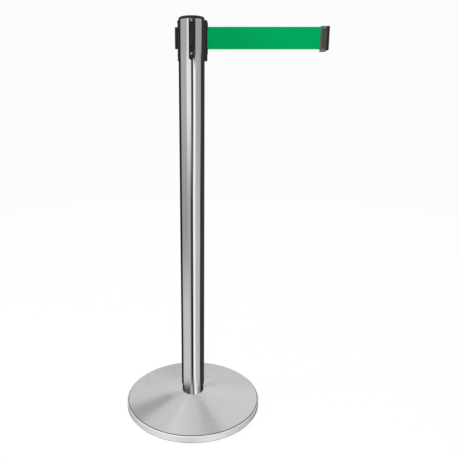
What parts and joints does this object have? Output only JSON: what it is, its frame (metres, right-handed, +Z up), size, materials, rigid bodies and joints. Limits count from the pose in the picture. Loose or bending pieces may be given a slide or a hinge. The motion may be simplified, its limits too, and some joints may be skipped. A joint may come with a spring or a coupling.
{
  "type": "retractable belt stanchion",
  "caption": "Free-standing queue post with a weighted round base, a spring-wound belt cassette in its head, receivers on its other sides and a belt clip.",
  "frame": {"origin": "on the floor under the post's axis", "axes": "+Z up along the post; +X the way the belt pulls out; -Y the front receiver's side"},
  "size_m": [0.5135, 0.3712, 1.026],
  "materials": {
    "spun_stainless": "satin, brushed in circles",
    "polished_stainless": "mirror polished along its length",
    "cast_iron": "rough casting, black primer",
    "black_rubber": "matte",
    "zinc_steel": "zinc plated",
    "black_plastic": "moulded, fine texture, slight gloss",
    "bright_screw": "bright plated",
    "cassette_plastic": "moulded, matte",
    "axle_steel": "turned",
    "spring_steel": "blued",
    "spool_nylon": "natural nylon",
    "bronze": "sintered",
    "belt_webbing": "woven polyester, plain green",
    "clip_plastic": "moulded, dark warm grey, fine texture"
  },
  "bodies": {
    "post": {"base_cover": "spun_stainless", "post_tube": "polished_stainless", "post_foot": "polished_stainless", "base_weight": "cast_iron", "floor_pad": "black_rubber", "base_washer": "zinc_steel", "lock_washer": "zinc_steel", "base_bolt": "zinc_steel", "top_cap": "black_plastic", "receiver_front": "black_plastic", "receiver_back": "black_plastic", "receiver_left": "black_plastic", "exit_bezel": "black_plastic", "head_screws": "bright_screw", "lid_screws": "zinc_steel", "cassette_housing": "cassette_plastic", "cassette_lid": "cassette_plastic", "spool_axle": "axle_steel", "retaining_ring": "spring_steel", "spring_arbor": "axle_steel", "lower_thrust_washer": "axle_steel", "upper_thrust_washer": "axle_steel", "spiral_spring": "spring_steel"},
    "spool": {"spool_hub": "spool_nylon", "upper_flange": "spool_nylon", "lower_bushing": "bronze", "upper_bushing": "bronze", "spring_cup": "axle_steel", "spring_cover": "axle_steel", "belt_roll": "belt_webbing"},
    "belt_end": {"belt_strap": "belt_webbing", "clip_body": "clip_plastic", "clip_jaw": "black_plastic", "clip_cover": "clip_plastic", "clip_screws": "bright_screw", "belt_pin": "axle_steel"}
  },
  "joints": [
    {"name": "belt_pull", "type": "slide", "parent": "post", "child": "belt_end", "axis": [1, 0, 0], "range_m": [-0.2681, 2.0174], "stiffness_N_per_m": 3.3, "springref_m": -1.62, "deforming": ["belt_strap"]},
    {"name": "spool_spin", "type": "hinge", "parent": "post", "child": "spool", "pos_m": [0, 0, 0.9771], "axis": [0, 0, 1], "range_deg": [-6541, 878], "deforming": ["spiral_spring"]}
  ],
  "couplings": [
    {"joint": "spool_spin", "follows": "belt_pull", "rad_per_m": -56.5}
  ]
}
